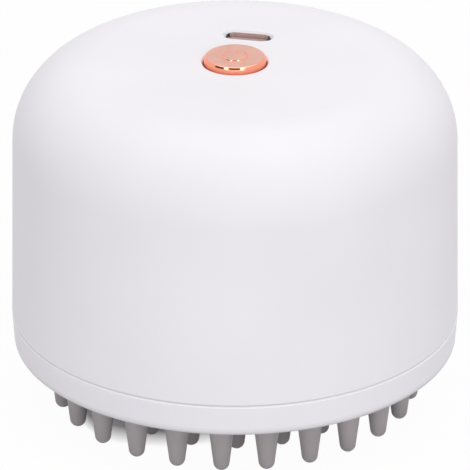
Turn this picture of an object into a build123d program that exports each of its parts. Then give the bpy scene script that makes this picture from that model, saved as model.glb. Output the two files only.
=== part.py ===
from build123d import *

import os
from math import atan2, cos, degrees, radians, sin, sqrt, tan

# Electric pet massage brush. Millimetres, +Z up, origin on the floor under the pin tips,
# on the axis of the drum. +Y points towards the charging slot.

# Outer form
pin_drop = 11.9
ring_height = 6.95
seam_radius = 45.1
wall_draft = 1.0
shoulder_radius = 16.2
shoulder_steps = 4
crown_radius = 1300.0
ring_foot_inset = 0.45
ring_edge_radius = 1.2
seam_gap = 0.22
seam_lip = 0.35

# Fits, shared by all pieces
fit_gap = 0.05
part_gap = 0.1
soft_gap = 0.15
sliding_gap = 0.25
overrun = 1.0

# Housing walls and fasteners
housing_wall = 2.4
ring_wall = 2.4
floor_wall = 2.0
spigot_wall = 1.6
spigot_height = 3.6
post_inset = 9.0
post_radius = 3.2
post_rib_wall = 1.5
post_rib_room = 3.0
post_count = 4
post_angle = 45.0
post_boss_height = 3.0
boss_wall = 1.2
seat_web = 2.0
housing_screw_radius = 1.3
housing_screw_head_radius = 2.7
housing_screw_head_height = 2.0
housing_screw_length = 10.0
screw_tip_room = 2.0
screw_hole_gap = 0.3

# Brush pad and the plate that it is stretched round
pad_recess = 0.8
pad_web = 2.0
pad_lip = 0.8
pad_lip_width = 2.8
pad_rim_wall = 1.5
pin_edge_room = 6.3
pin_ring_shares = [1.0, 0.74, 0.49, 0.245, 0.0]
pin_ring_counts = [25, 18, 12, 6, 1]
pin_ring_starts = [-82.8, -77.8, -75.0, -60.0, 0.0]
pin_root_radius = 3.0
pin_tip_radius = 1.62
pin_land_radius = 0.6
pin_dome_angle = 45.0
pin_sides = 10
plate_wall = 1.6
plate_hub_radius = 12.0
plate_hub_wall = 2.0
hook_count = 4
hook_circle_radius = 27.3
hook_width = 6.0
hook_wall = 1.4
hook_reach = 0.9
hook_head = 1.5

# Power button
button_radius = 6.25
button_gap = 0.25
button_rise = 1.2
button_bevel_width = 0.45
button_bevel_height = 0.45
button_wall = 1.2
button_flange_reach = 1.15
button_flange_wall = 0.9
button_collar_wall = 1.8
button_collar_height = 1.3
button_stem_radius = 1.75
button_travel = 0.3
hole_bevel = 0.3
sign_ring_radius = 2.5
sign_line = 0.42
sign_rise = 0.12
sign_gap_angle = 76.0
sign_bar_length = 2.4

# Charging receptacle
port_room = 3.25
port_gap = 0.15
port_bevel = 0.6
port_shell_width = 8.94
port_shell_depth = 3.26
port_shell_wall = 0.3
port_shell_length = 8.7
port_sink = 0.35
port_body_height = 2.4
port_tongue_room = 0.82
port_tongue_wall = 0.7
port_tongue_sink = 0.5

# Main board and what stands on it
board_room = 2.8
board_wall = 1.6
board_clearance = 1.3
board_post_inset = 5.0
board_post_radius = 2.8
board_post_count = 3
board_screw_radius = 1.0
board_screw_head_radius = 1.9
board_screw_head_height = 1.3
board_screw_length = 6.0
switch_width = 6.0
switch_plunger_radius = 1.7
switch_plunger_depth = 1.15
switch_plunger_out = 0.85
charging_chip_size = (4.9, 3.9, 1.6)
charging_chip_place = (-13.0, 12.0)
control_chip_size = (8.6, 3.9, 1.6)
control_chip_place = (-15.0, -3.0)
transistor_size = (3.0, 1.7, 1.1)
transistor_place = (14.0, 7.0)
capacitor_radius = 2.5
capacitor_room = 1.25
capacitor_place = (14.0, -2.0)

# Battery, with its socket under the board
cell_width = 30.0
cell_depth = 10.0
cell_height = 30.0
cell_corner_radius = 2.0
cell_board_width = 26.0
cell_board_depth = 4.0
cell_board_wall = 0.9
foam_wall = 1.0
socket_size = (7.6, 5.8, 4.4)
socket_wall = 0.8
socket_side = 7.0
plug_room = 1.8
plug_out = 2.2
lead_radius = 0.55
lead_pitch = 2.0
battery_lead_side = 9.0
lead_bend_share = 0.45
lead_sides = 8

# Chassis
foot_angles = [-20.0, 60.0, 120.0, 200.0]
foot_radius = 3.0
foot_height = 3.0
tray_wall = 2.0
chassis_wall = 1.6
chassis_screw_radius = 1.0
chassis_screw_head_radius = 2.1
chassis_screw_head_height = 1.4
chassis_screw_length = 4.4
bay_wall = 1.4
bay_height = 14.0
ear_radius = 2.8
ear_height = 9.0
ear_sink = 0.25
clamp_wall = 1.6
clamp_screw_length = 7.0

# Motor, with flats on its front and back
can_wall = 0.8
cap_room = 3.9
motor_cap_length = 3.1
motor_boss_wall = 0.75
motor_boss_height = 1.5
motor_rear_boss_radius = 5.0
motor_rear_boss_height = 1.8
shaft_radius = 1.0
bush_wall = 1.25
sleeve_wall = 1.2
sleeve_margin = 1.4
magnet_gap = 0.7
magnet_wall = 2.3
magnet_angle = 84.0
armature_radius = 6.2
armature_room = 0.55
armature_length = 10.0
armature_core_radius = 2.4
pole_count = 3
pole_neck = 2.0
pole_shoe = 1.1
pole_angle = 96.0
coil_wall = 1.3
commutator_radius = 2.1
commutator_length = 3.6
rotor_end_gap = 1.0
brush_wall = 0.5
brush_width = 2.0
brush_block = 1.3
terminal_offset = 7.6
terminal_width = 2.2
terminal_wall = 0.5
terminal_out = 1.7
motor_lead_run = 9.0

# Eccentric weight
weight_radius = 9.4
weight_height = 6.4
weight_hub_radius = 3.2
weight_angle = 150.0
weight_floor_gap = 1.1
weight_top_gap = 1.0
weight_side_gap = 0.9

# Levels of the pad, the base and the motor, worked up from the floor
ring_foot_level = pin_drop
seam_level = ring_foot_level + ring_height
pad_level = ring_foot_level + pad_recess
plate_level = pad_level + pad_web + part_gap
plate_top = plate_level + plate_wall
pad_lip_level = plate_top + part_gap
floor_level = pad_lip_level + pad_lip + soft_gap
floor_top = floor_level + floor_wall
spigot_top = floor_top + spigot_height
post_foot_level = floor_top + post_boss_height
screw_seat_level = post_foot_level - seat_web
tray_level = floor_top + foot_height
tray_top = tray_level + tray_wall
weight_level = floor_top + weight_floor_gap
weight_top = weight_level + weight_height
shelf_level = weight_top + weight_top_gap
motor_level = shelf_level + motor_boss_height
armature_level = motor_level + can_wall + rotor_end_gap + coil_wall
armature_top = armature_level + armature_length
commutator_level = armature_top + coil_wall + part_gap
commutator_top = commutator_level + commutator_length
cap_level = commutator_top + cap_room
motor_top = cap_level + motor_cap_length
pillar_top = motor_top
clamp_level = pillar_top + part_gap
clamp_top = clamp_level + clamp_wall
terminal_top = clamp_top + terminal_out
cell_level = tray_top + part_gap
cell_top = cell_level + cell_height
cell_board_top = cell_top + part_gap + cell_board_wall

# Levels of the board and the crown, worked up from what stands below the board
socket_width, socket_depth, socket_height = socket_size
board_level = max(clamp_top, cell_board_top) + board_clearance + socket_height
board_top = board_level + board_wall
port_mouth = board_top + port_shell_length
crown_level = port_mouth + port_sink
crown_under = crown_level - housing_wall
collar_level = crown_under - button_collar_height
flange_top = collar_level - part_gap
flange_level = flange_top - button_flange_wall
switch_top = flange_level - switch_plunger_out
plunger_level = switch_top - switch_plunger_depth
button_top = crown_level + button_rise

# Radii and reaches worked out from the sizes above
ring_foot_radius = seam_radius - ring_foot_inset
pocket_radius = ring_foot_radius - ring_wall
pad_radius = pocket_radius - soft_gap
plate_radius = pad_radius - pad_rim_wall
post_circle_radius = seam_radius - post_inset
board_radius = post_circle_radius - post_radius - board_room
board_post_circle_radius = board_radius - board_post_inset
button_face_radius = button_radius - button_bevel_width
button_hole_radius = button_radius + button_gap
button_flange_radius = button_hole_radius + button_flange_reach
button_collar_radius = button_hole_radius + button_collar_wall
port_slot_width = port_shell_width + 2 * port_gap
port_slot_depth = port_shell_depth + 2 * port_gap
port_offset = button_collar_radius + port_room + port_slot_depth / 2
can_radius = armature_radius + magnet_gap + magnet_wall + fit_gap + can_wall
can_flat = armature_radius + armature_room + can_wall
bush_radius = shaft_radius + fit_gap + bush_wall
motor_boss_radius = bush_radius + fit_gap + motor_boss_wall
chamber_radius = weight_radius + weight_side_gap
sleeve_reach = part_gap + sleeve_wall + part_gap
cradle_reach = sleeve_reach + chassis_wall
ear_circle_radius = can_radius + cradle_reach + ear_radius - ear_sink
foot_circle_radius = (chamber_radius + chassis_wall + post_circle_radius - post_radius) / 2
tray_radius = foot_circle_radius + foot_radius
bay_inner = max(can_flat + cradle_reach, chamber_radius + chassis_wall)
cell_front = bay_inner + part_gap + foam_wall + part_gap
cell_back = cell_front + cell_depth
cell_middle = -(cell_front + cell_back) / 2

# The shoulder's centre, from its touching of the wall and of the crown
shoulder_foot = seam_radius - shoulder_radius / cos(radians(wall_draft))
crown_centre = crown_level - crown_radius
slope = tan(radians(wall_draft))
crown_drop = crown_centre - seam_level
sum_term = shoulder_foot * slope + crown_drop
rest_term = shoulder_foot**2 + crown_drop**2 - (crown_radius - shoulder_radius) ** 2
shoulder_height = (sum_term + sqrt(sum_term**2 - (1 + slope**2) * rest_term)) / (1 + slope**2)
shoulder_offset = shoulder_foot - shoulder_height * slope
shoulder_level = seam_level + shoulder_height


def disc(radius, low, high):
    """Upright cylinder on the axis between two levels."""
    return Pos(0, 0, low) * extrude(Circle(radius), high - low)


def tube(radius, hole, low, high):
    """Upright ring on the axis between two levels."""
    return Pos(0, 0, low) * extrude(Circle(radius) - Circle(hole), high - low)


def block(width, depth, low, high):
    """Upright box centred on the axis between two levels."""
    return Pos(0, 0, low) * extrude(Rectangle(width, depth), high - low)


def turned(points):
    """Solid turned about the axis from a closed half outline of radius and level."""
    return revolve(Plane.XZ * make_face(Polyline(*points, close=True)), Axis.Z)


def around(shape, radius, count, start):
    """Copies of a shape on a circle, each turned to face outwards."""
    return [spot * shape for spot in PolarLocations(radius, count, start_angle=start)]


def level_of_crown(radius):
    """Level of the crown's outer skin at a distance from the axis."""
    return crown_centre + sqrt(crown_radius**2 - radius**2)


def dome(inset, low):
    """The dome's outer form, set in evenly, cut flat at a level."""
    foot = seam_radius - inset / cos(radians(wall_draft))
    bend = shoulder_radius - inset
    low_radius = foot - (low - seam_level) * slope
    turn = degrees(atan2(shoulder_level - crown_centre, shoulder_offset))
    wall_end = (
        shoulder_offset + bend * cos(radians(wall_draft)),
        shoulder_level + bend * sin(radians(wall_draft)),
    )
    outline = [
        Line((0, low), (low_radius, low)),
        Line((low_radius, low), wall_end),
        CenterArc((shoulder_offset, shoulder_level), bend, wall_draft, turn - wall_draft),
        CenterArc((0, crown_centre), crown_radius - inset, turn, 90 - turn),
        Line((0, crown_level - inset), (0, low)),
    ]
    return revolve(Plane.XZ * make_face(outline), Axis.Z)


def dome_room(low):
    """The room inside the dome, as its core is turned: drafted wall, tapered shoulder, sloped ceiling."""
    foot = seam_radius - housing_wall / cos(radians(wall_draft))
    bend = shoulder_radius - housing_wall
    outline = [(0, low), (foot - (low - seam_level) * slope, low)]
    for i in range(shoulder_steps + 1):
        turn = radians(wall_draft + (90 - wall_draft) * i / shoulder_steps)
        outline.append((shoulder_offset + bend * cos(turn), shoulder_level + bend * sin(turn)))
    return turned(outline + [(0, crown_under)])


def faceted(rings, sides):
    """Solid of flat faces through rings of radius and level, from the top one down."""
    turns = [radians(360 * i / sides) for i in range(sides)]
    loops = [[(radius * cos(turn), radius * sin(turn), level) for turn in turns] for radius, level in rings]
    outlines = [loops[0], loops[-1]]
    for high, low in zip(loops, loops[1:]):
        for i in range(sides):
            outlines.append([high[i - 1], low[i - 1], low[i], high[i]])
    return Solid(Shell([Face(Polyline(*outline, close=True)) for outline in outlines]))


def flat_sided(radius, flat, low, high):
    """Upright bar of a round section with two flats, facing front and back."""
    section = Circle(radius) & Rectangle(2 * radius, 2 * flat)
    return Pos(0, 0, low) * extrude(section, high - low)


def screw(head_radius, head_height, radius, length):
    """Pan-head screw, its head below and its seat at level 0."""
    head = disc(head_radius, -head_height, 0)
    head = chamfer(head.edges().sort_by(Axis.Z)[0], head_height / 4)
    return head + disc(radius, 0, length)


def top_housing():
    """White dome with four screw posts, three board posts, the button's collar and the port slot."""
    low = seam_level + seam_gap / 2
    skin = dome(housing_wall / 2, low)
    shell = dome(0, low) - dome_room(low - overrun)
    height = crown_level - post_foot_level
    post = extrude(Circle(post_radius), height)
    rib_low = spigot_top + post_rib_room
    rib_width = seam_radius - post_circle_radius
    rib = Pos(rib_width / 2, 0, rib_low - post_foot_level) * extrude(
        Rectangle(rib_width, post_rib_wall), height - (rib_low - post_foot_level)
    )
    post = Pos(0, 0, post_foot_level) * (post + rib)
    posts = around(post, post_circle_radius, post_count, post_angle)
    board_post = Pos(0, 0, board_top) * extrude(Circle(board_post_radius), crown_level - board_top)
    posts += around(board_post, board_post_circle_radius, board_post_count, 90)
    posts.append(disc(button_collar_radius, collar_level, crown_under + housing_wall / 2))
    shell += [piece & skin for piece in posts]
    bore_top = post_foot_level + housing_screw_length + screw_tip_room
    bore = disc(housing_screw_radius + fit_gap, post_foot_level - overrun, bore_top)
    shell -= around(bore, post_circle_radius, post_count, post_angle)
    board_bore_top = board_level + board_screw_length + fit_gap
    board_bore = disc(board_screw_radius + fit_gap, board_top - overrun, board_bore_top)
    shell -= around(board_bore, board_post_circle_radius, board_post_count, 90)
    shell -= disc(button_hole_radius, collar_level - overrun, crown_level + overrun)
    rim = level_of_crown(button_hole_radius)
    bevel = [
        (0, rim - hole_bevel),
        (button_hole_radius, rim - hole_bevel),
        (button_hole_radius + hole_bevel + overrun, rim + overrun),
        (0, rim + overrun),
    ]
    shell -= turned(bevel)
    slot = SlotOverall(port_slot_width, port_slot_depth)
    shell -= Pos(0, port_offset, board_top) * extrude(slot, crown_level - board_top + overrun)
    flare_level = level_of_crown(port_offset) - port_bevel
    spread = 2 * (port_bevel + overrun)
    wide = SlotOverall(port_slot_width + spread, port_slot_depth + spread)
    flare = loft([Pos(0, 0, 0) * slot, Pos(0, 0, port_bevel + overrun) * wide])
    return shell - Pos(0, port_offset, flare_level) * flare


def base_housing():
    """White ring under the seam, with its floor, spigot and bosses."""
    spigot_radius = seam_radius - (housing_wall + sliding_gap) - (spigot_top - seam_level) * slope
    seam_low = seam_level - seam_gap / 2
    outline = [
        Line((0, floor_level), (pocket_radius, floor_level)),
        Line((pocket_radius, floor_level), (pocket_radius, ring_foot_level)),
        Line((pocket_radius, ring_foot_level), (ring_foot_radius, ring_foot_level)),
        Line((ring_foot_radius, ring_foot_level), (seam_radius, seam_low - seam_lip)),
        Line((seam_radius, seam_low - seam_lip), (seam_radius - seam_lip, seam_low)),
        Line((seam_radius - seam_lip, seam_low), (spigot_radius, seam_low)),
        Line((spigot_radius, seam_low), (spigot_radius, spigot_top)),
        Line((spigot_radius, spigot_top), (spigot_radius - spigot_wall, spigot_top)),
        Line((spigot_radius - spigot_wall, spigot_top), (spigot_radius - spigot_wall, floor_top)),
        Line((spigot_radius - spigot_wall, floor_top), (0, floor_top)),
        Line((0, floor_top), (0, floor_level)),
    ]
    base = revolve(Plane.XZ * make_face(outline), Axis.Z)
    foot_edge = base.edges().filter_by(GeomType.CIRCLE).filter_by_position(
        Axis.Z, ring_foot_level - fit_gap, ring_foot_level + fit_gap
    )
    base = fillet(foot_edge.sort_by(SortBy.RADIUS)[-1], ring_edge_radius)
    head_bore = housing_screw_head_radius + screw_hole_gap
    boss = disc(head_bore + boss_wall, floor_level, post_foot_level)
    base += around(boss, post_circle_radius, post_count, post_angle)
    bore = disc(head_bore, floor_level - overrun, screw_seat_level)
    bore += disc(housing_screw_radius + screw_hole_gap, floor_level, post_foot_level + overrun)
    base -= around(bore, post_circle_radius, post_count, post_angle)
    foot = disc(foot_radius, floor_level, tray_level)
    foot_bore = disc(chassis_screw_radius + fit_gap, floor_top - floor_wall / 2, tray_level + overrun)
    for angle in foot_angles:
        base += around(foot, foot_circle_radius, 1, angle)
        base -= around(foot_bore, foot_circle_radius, 1, angle)
    slot_depth = hook_wall + hook_reach + 2 * screw_hole_gap
    slot = Pos(hook_wall / 2 + hook_reach / 2, 0, 0) * block(
        slot_depth, hook_width + 2 * screw_hole_gap, floor_level - overrun, floor_top + overrun
    )
    return base - around(slot, hook_circle_radius, hook_count, 0)


def housing_screws():
    """Four screws under the pad that hold the base to the posts of the top housing."""
    one = screw(
        housing_screw_head_radius, housing_screw_head_height, housing_screw_radius, housing_screw_length
    )
    return around(Pos(0, 0, screw_seat_level) * one, post_circle_radius, post_count, post_angle)


def pin():
    """One tapered pin with a blunt tip, standing on the floor and rooted in the pad's face."""
    tip = pin_tip_radius
    turn = radians(pin_dome_angle)
    rings = [
        (pin_root_radius, pad_level + pad_web / 2),
        (pin_root_radius, pad_level),
        (tip, tip),
        (tip * cos(turn), tip * (1 - sin(turn))),
        (pin_land_radius, 0),
    ]
    return faceted(rings, pin_sides)


def brush_pad():
    """Silicone pad with rings of pins round one on the axis, its rim wrapped over the edge of the plate."""
    rim_hole = plate_radius + part_gap
    outline = [
        (0, pad_level),
        (pad_radius, pad_level),
        (pad_radius, pad_lip_level + pad_lip),
        (rim_hole - pad_lip_width, pad_lip_level + pad_lip),
        (rim_hole - pad_lip_width, pad_lip_level),
        (rim_hole, pad_lip_level),
        (rim_hole, pad_level + pad_web),
        (0, pad_level + pad_web),
    ]
    pins = []
    outer_ring = pad_radius - pin_edge_room
    for share, count, start in zip(pin_ring_shares, pin_ring_counts, pin_ring_starts):
        pins += around(pin(), outer_ring * share, count, start)
    return turned(outline).fuse(*pins)


def pad_plate():
    """Rigid disc behind the pad, with a hub that meets the base's floor and four snap hooks."""
    plate = disc(plate_radius, plate_level, plate_top)
    plate += tube(plate_hub_radius, plate_hub_radius - plate_hub_wall, plate_top, floor_level)
    head_level = floor_top + part_gap
    profile = [
        (0, plate_top),
        (hook_wall, plate_top),
        (hook_wall, head_level),
        (hook_wall + hook_reach, head_level),
        (hook_wall, head_level + hook_head),
        (0, head_level + hook_head),
    ]
    hook = extrude(Plane.XZ * make_face(Polyline(*profile, close=True)), hook_width / 2, both=True)
    return plate + around(hook, hook_circle_radius, hook_count, 0)


def power_button():
    """Plated cap with a rolled edge, a raised power sign, a flange and a stem."""
    bevel_low = button_top - button_bevel_height
    mid = (
        button_face_radius + button_bevel_width * cos(radians(45)),
        bevel_low + button_bevel_height * sin(radians(45)),
    )
    outline = [
        Line((0, flange_level), (button_flange_radius, flange_level)),
        Line((button_flange_radius, flange_level), (button_flange_radius, flange_top)),
        Line((button_flange_radius, flange_top), (button_radius, flange_top)),
        Line((button_radius, flange_top), (button_radius, bevel_low)),
        ThreePointArc((button_radius, bevel_low), mid, (button_face_radius, button_top)),
        Line((button_face_radius, button_top), (0, button_top)),
        Line((0, button_top), (0, flange_level)),
    ]
    cap = revolve(Plane.XZ * make_face(outline), Axis.Z)
    hollow_radius = button_radius - button_wall
    cap -= tube(hollow_radius, button_stem_radius, flange_level - overrun, button_top - button_wall)
    ring = CenterArc((0, 0), sign_ring_radius, 90 + sign_gap_angle / 2, 360 - sign_gap_angle)
    sign = trace(ring, line_width=sign_line)
    sign += Pos(0, sign_ring_radius - sign_bar_length / 2 + sign_line) * Rectangle(sign_line, sign_bar_length)
    return cap + Pos(0, 0, button_top - sign_rise) * extrude(sign, 2 * sign_rise)


def switch_body():
    """Square tactile switch on the board under the button."""
    body = block(switch_width, switch_width, board_top, switch_top)
    well = plunger_level - button_travel - part_gap
    return body - disc(switch_plunger_radius + fit_gap, well, switch_top + overrun)


def switch_plunger():
    """Round plunger of the switch, which the button's stem stands on."""
    return disc(switch_plunger_radius, plunger_level, flange_level)


def port_shell():
    """Metal shell of the upright charging receptacle, open at its mouth."""
    outer = SlotOverall(port_shell_width, port_shell_depth)
    inner = SlotOverall(port_shell_width - 2 * port_shell_wall, port_shell_depth - 2 * port_shell_wall)
    return Pos(0, port_offset, board_top) * extrude(outer - inner, port_shell_length)


def port_tongue():
    """Dark insert of the receptacle: a body at its foot and the thin tongue that a plug goes round."""
    tongue_width = port_shell_width - 2 * (port_shell_wall + port_tongue_room)
    inset = port_shell_wall + fit_gap
    foot = SlotOverall(port_shell_width - 2 * inset, port_shell_depth - 2 * inset)
    tongue = Rectangle(tongue_width, port_tongue_wall)
    insert = extrude(foot, port_body_height) + extrude(tongue, port_shell_length - port_tongue_sink)
    return Pos(0, port_offset, board_top) * insert


def main_board():
    """Round circuit board screwed to the posts under the crown."""
    board = disc(board_radius, board_level, board_top)
    hole = disc(board_screw_radius + screw_hole_gap, board_level - overrun, board_top + overrun)
    return board - around(hole, board_post_circle_radius, board_post_count, 90)


def board_screws():
    """Three screws that hold the board to the posts."""
    one = screw(board_screw_head_radius, board_screw_head_height, board_screw_radius, board_screw_length)
    spots = around(Pos(0, 0, board_level) * one, board_post_circle_radius, board_post_count, 90)
    return spots


def board_chip(size, place):
    """Moulded chip lying on the board."""
    return Pos(place[0], place[1], 0) * block(size[0], size[1], board_top, board_top + size[2])


def filter_capacitor():
    """Round can capacitor standing on the board."""
    can = disc(capacitor_radius, board_top, crown_under - capacitor_room)
    return Pos(capacitor_place[0], capacitor_place[1], 0) * can


def battery_cell():
    """Flat pouch cell standing in the chassis, with rounded long edges."""
    section = RectangleRounded(cell_width, cell_depth, cell_corner_radius)
    return Pos(0, cell_middle, cell_level) * extrude(section, cell_height)


def battery_board():
    """Protection board lying on the top of the cell."""
    board = block(cell_board_width, cell_board_depth, cell_board_top - cell_board_wall, cell_board_top)
    return Pos(0, cell_middle, 0) * board


def battery_foam():
    """Foam strip between the cell and the motor's cradle."""
    middle = -(bay_inner + part_gap + foam_wall / 2)
    width = cell_width - 2 * cell_corner_radius
    return Pos(0, middle, 0) * block(width, foam_wall, cell_level, cell_level + cell_height / 2)


def battery_socket():
    """Open socket under the board that the battery's plug slides into from the side."""
    low = board_level - socket_height
    body = block(socket_width, socket_depth, low, board_level)
    body -= Pos(-socket_wall, 0, 0) * block(
        socket_width, socket_depth - 2 * socket_wall, low + socket_wall, board_level - socket_wall
    )
    return Pos(socket_side, cell_middle, 0) * body


def battery_plug():
    """Plug of the battery's leads, standing a little out of its socket."""
    low = board_level - socket_height + socket_wall + part_gap
    high = board_level - socket_wall - part_gap
    length = plug_out + socket_width - socket_wall - plug_room
    start = socket_side - socket_width / 2 - plug_out
    plug = block(length, socket_depth - 2 * (socket_wall + part_gap), low, high)
    return Pos(start + length / 2, cell_middle, 0) * plug


def lead(points):
    """Insulated wire along straight runs with a bend at each corner."""
    runs = [(Vector(b) - Vector(a)).length for a, b in zip(points, points[1:])]
    bends = []
    for i in range(1, len(points) - 1):
        before = Vector(points[i]) - Vector(points[i - 1])
        after = Vector(points[i + 1]) - Vector(points[i])
        half = radians(before.get_angle(after)) / 2
        bends.append(lead_bend_share * min(runs[i - 1], runs[i]) / tan(half))
    print("lead bends", [round(bend, 2) for bend in bends], "runs", [round(run, 1) for run in runs])
    path = FilletPolyline(*points, radius=bends)
    start = Plane(origin=points[0], z_dir=Vector(points[1]) - Vector(points[0]))
    return sweep(start * RegularPolygon(lead_radius, lead_sides), path)


def battery_leads():
    """Two wires from the cell's protection board to the plug."""
    level = board_level - socket_height / 2
    plug_end = socket_side - socket_width / 2 - plug_out
    wires = []
    for side in (-1, 1):
        y = cell_middle + side * lead_pitch / 2
        x = -battery_lead_side - side * lead_pitch / 2
        wires.append(lead([(x, y, cell_board_top), (x, y, level), (plug_end, y, level)]))
    return wires


def chassis():
    """Moulded frame: tray on four feet, chamber round the weight, cradle for the motor, bay for the cell."""
    bay_width = cell_width + 2 * (part_gap + bay_wall)
    bay_depth = cell_back + part_gap + bay_wall
    frame = disc(tray_radius, tray_level, tray_top)
    frame += Pos(0, -bay_depth / 2, 0) * block(bay_width, bay_depth, tray_level, tray_top)
    frame += disc(chamber_radius + chassis_wall, tray_level, motor_level)
    cradle = flat_sided(can_radius + cradle_reach, can_flat + cradle_reach, shelf_level, pillar_top)
    ear = disc(ear_radius, pillar_top - ear_height, pillar_top)
    frame += [cradle] + around(ear, ear_circle_radius, 2, 0)
    wall = Pos(0, -bay_depth / 2 - bay_inner / 2, 0) * block(
        bay_width, bay_depth - bay_inner, tray_top, tray_top + bay_height
    )
    room = Pos(0, -(bay_inner + bay_depth - bay_wall) / 2, 0) * block(
        cell_width + 2 * part_gap, bay_depth - bay_wall - bay_inner, tray_top, tray_top + bay_height + overrun
    )
    frame += wall - room
    window = Pos(0, -bay_depth, 0) * block(
        cell_width / 2, cell_depth, tray_top + bay_wall, tray_top + bay_height + overrun
    )
    frame -= window
    frame -= disc(chamber_radius, tray_level - overrun, shelf_level)
    frame -= disc(motor_boss_radius + sliding_gap, shelf_level - overrun, motor_level + overrun)
    frame -= flat_sided(
        can_radius + sleeve_reach, can_flat + sleeve_reach, motor_level, pillar_top + overrun
    )
    hole = disc(chassis_screw_radius + screw_hole_gap, tray_level - overrun, tray_top + overrun)
    for angle in foot_angles:
        frame -= around(hole, foot_circle_radius, 1, angle)
    ear_bore = disc(chassis_screw_radius + fit_gap, clamp_level - clamp_screw_length, pillar_top + overrun)
    return frame - around(ear_bore, ear_circle_radius, 2, 0)


def chassis_screws():
    """Four screws that hold the chassis to the base's feet."""
    one = Rot(180, 0, 0) * screw(
        chassis_screw_head_radius, chassis_screw_head_height, chassis_screw_radius, chassis_screw_length
    )
    screws = []
    for angle in foot_angles:
        screws += around(Pos(0, 0, tray_top) * one, foot_circle_radius, 1, angle)
    return screws


def motor_sleeve():
    """Rubber sleeve between the motor and its cradle."""
    inner = part_gap
    outer = part_gap + sleeve_wall
    low = motor_level + sleeve_margin
    high = cap_level - sleeve_margin
    sleeve = flat_sided(can_radius + outer, can_flat + outer, low, high)
    return sleeve - flat_sided(can_radius + inner, can_flat + inner, low - overrun, high + overrun)


def motor_clamp():
    """Plate screwed over the motor's end, open for its rear boss and terminals."""
    length = 2 * (ear_circle_radius + ear_radius)
    plate = Pos(0, 0, clamp_level) * extrude(SlotOverall(length, 2 * can_flat), clamp_wall)
    plate -= disc(motor_rear_boss_radius + sliding_gap, clamp_level - overrun, clamp_top + overrun)
    spread = 2 * sliding_gap
    window = block(
        terminal_wall + spread, terminal_width + spread, clamp_level - overrun, clamp_top + overrun
    )
    plate -= around(window, terminal_offset, 2, 0)
    hole = disc(chassis_screw_radius + screw_hole_gap, clamp_level - overrun, clamp_top + overrun)
    return plate - around(hole, ear_circle_radius, 2, 0)


def clamp_screws():
    """Two screws that hold the clamp to the cradle's ears."""
    one = Rot(180, 0, 0) * screw(
        chassis_screw_head_radius, chassis_screw_head_height, chassis_screw_radius, clamp_screw_length
    )
    return around(Pos(0, 0, clamp_top) * one, ear_circle_radius, 2, 0)


def motor_can():
    """Drawn steel can with flats and a boss that holds the front bush."""
    can = flat_sided(can_radius, can_flat, motor_level, cap_level)
    can += disc(motor_boss_radius, motor_level - motor_boss_height + part_gap, motor_level)
    can -= flat_sided(can_radius - can_wall, can_flat - can_wall, motor_level + can_wall, cap_level + overrun)
    return can - disc(bush_radius + fit_gap, shelf_level - overrun, motor_level + overrun)


def motor_bush():
    """Bronze bush in the can's boss."""
    low = motor_level - motor_boss_height + part_gap
    return tube(bush_radius, shaft_radius + fit_gap, low, motor_level + can_wall)


def motor_end_cap():
    """Plastic end cap with the rear bearing's boss."""
    cap = flat_sided(can_radius, can_flat, cap_level, motor_top)
    rear_top = motor_top + motor_rear_boss_height
    cap += disc(motor_rear_boss_radius, motor_top, rear_top)
    return cap - disc(shaft_radius + fit_gap, cap_level - overrun, rear_top - motor_rear_boss_height / 2)


def motor_magnets():
    """Two curved magnets against the can's round sides."""
    outer = can_radius - can_wall - fit_gap
    inner = armature_radius + magnet_gap
    half = magnet_angle / 2
    wedge = Polyline(
        (0, 0),
        (outer * 2, -outer * 2 * tan(radians(half))),
        (outer * 2, outer * 2 * tan(radians(half))),
        close=True,
    )
    flats = Rectangle(2 * outer, 2 * (can_flat - can_wall - fit_gap))
    section = (Circle(outer) - Circle(inner)) & make_face(wedge) & flats
    magnet = Pos(0, 0, armature_level) * extrude(section, armature_length)
    return around(magnet, 0, 2, 0)


def motor_brushes():
    """Two brush blades that hang from the end cap beside the commutator, each with its carbon block."""
    block_level = (commutator_level + commutator_top) / 2
    inner = commutator_radius + fit_gap
    middle = inner + brush_block / 2
    carbon = Pos(middle, 0, 0) * block(
        brush_block, brush_width, block_level - brush_width / 2, block_level + brush_width / 2
    )
    blade = Pos(inner + brush_block + brush_wall / 2, 0, 0) * block(
        brush_wall, brush_width, block_level - brush_width / 2, cap_level
    )
    return around(carbon + blade, 0, 2, 0)


def motor_terminals():
    """Two terminal tabs standing on the end cap."""
    tab = block(terminal_wall, terminal_width, motor_top, terminal_top)
    return around(tab, terminal_offset, 2, 0)


def motor_leads():
    """Two wires from the terminals to the board."""
    level = terminal_top - lead_radius - part_gap
    wires = []
    for side in (-1, 1):
        x = side * (terminal_offset + terminal_wall / 2 + lead_radius)
        wires.append(lead([(x, 0, level), (x, motor_lead_run, level), (x, motor_lead_run, board_level)]))
    return wires


def motor_shaft():
    """Steel shaft of the rotor, through the motor down into the weight."""
    rear_top = motor_top + motor_rear_boss_height / 2 - part_gap
    return disc(shaft_radius, weight_level, rear_top)


def motor_armature():
    """Laminated armature with three poles."""
    shoe_angle = 360 / pole_count - pole_angle
    ring = Circle(armature_radius) - Circle(armature_radius - pole_shoe)
    gap_width = 2 * armature_radius * sin(radians(shoe_angle / 2))
    gap = Pos(armature_radius, 0) * Rectangle(4 * pole_shoe, gap_width)
    ring -= [Rot(0, 0, 180 / pole_count + 360 / pole_count * i) * gap for i in range(pole_count)]
    neck_length = armature_radius - pole_shoe / 2
    neck = Pos(neck_length / 2, 0) * Rectangle(neck_length, pole_neck)
    section = ring + Circle(armature_core_radius)
    section += [Rot(0, 0, 360 / pole_count * i) * neck for i in range(pole_count)]
    section -= Circle(shaft_radius + fit_gap / 2)
    return Pos(0, 0, armature_level) * extrude(section, armature_length)


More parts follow.
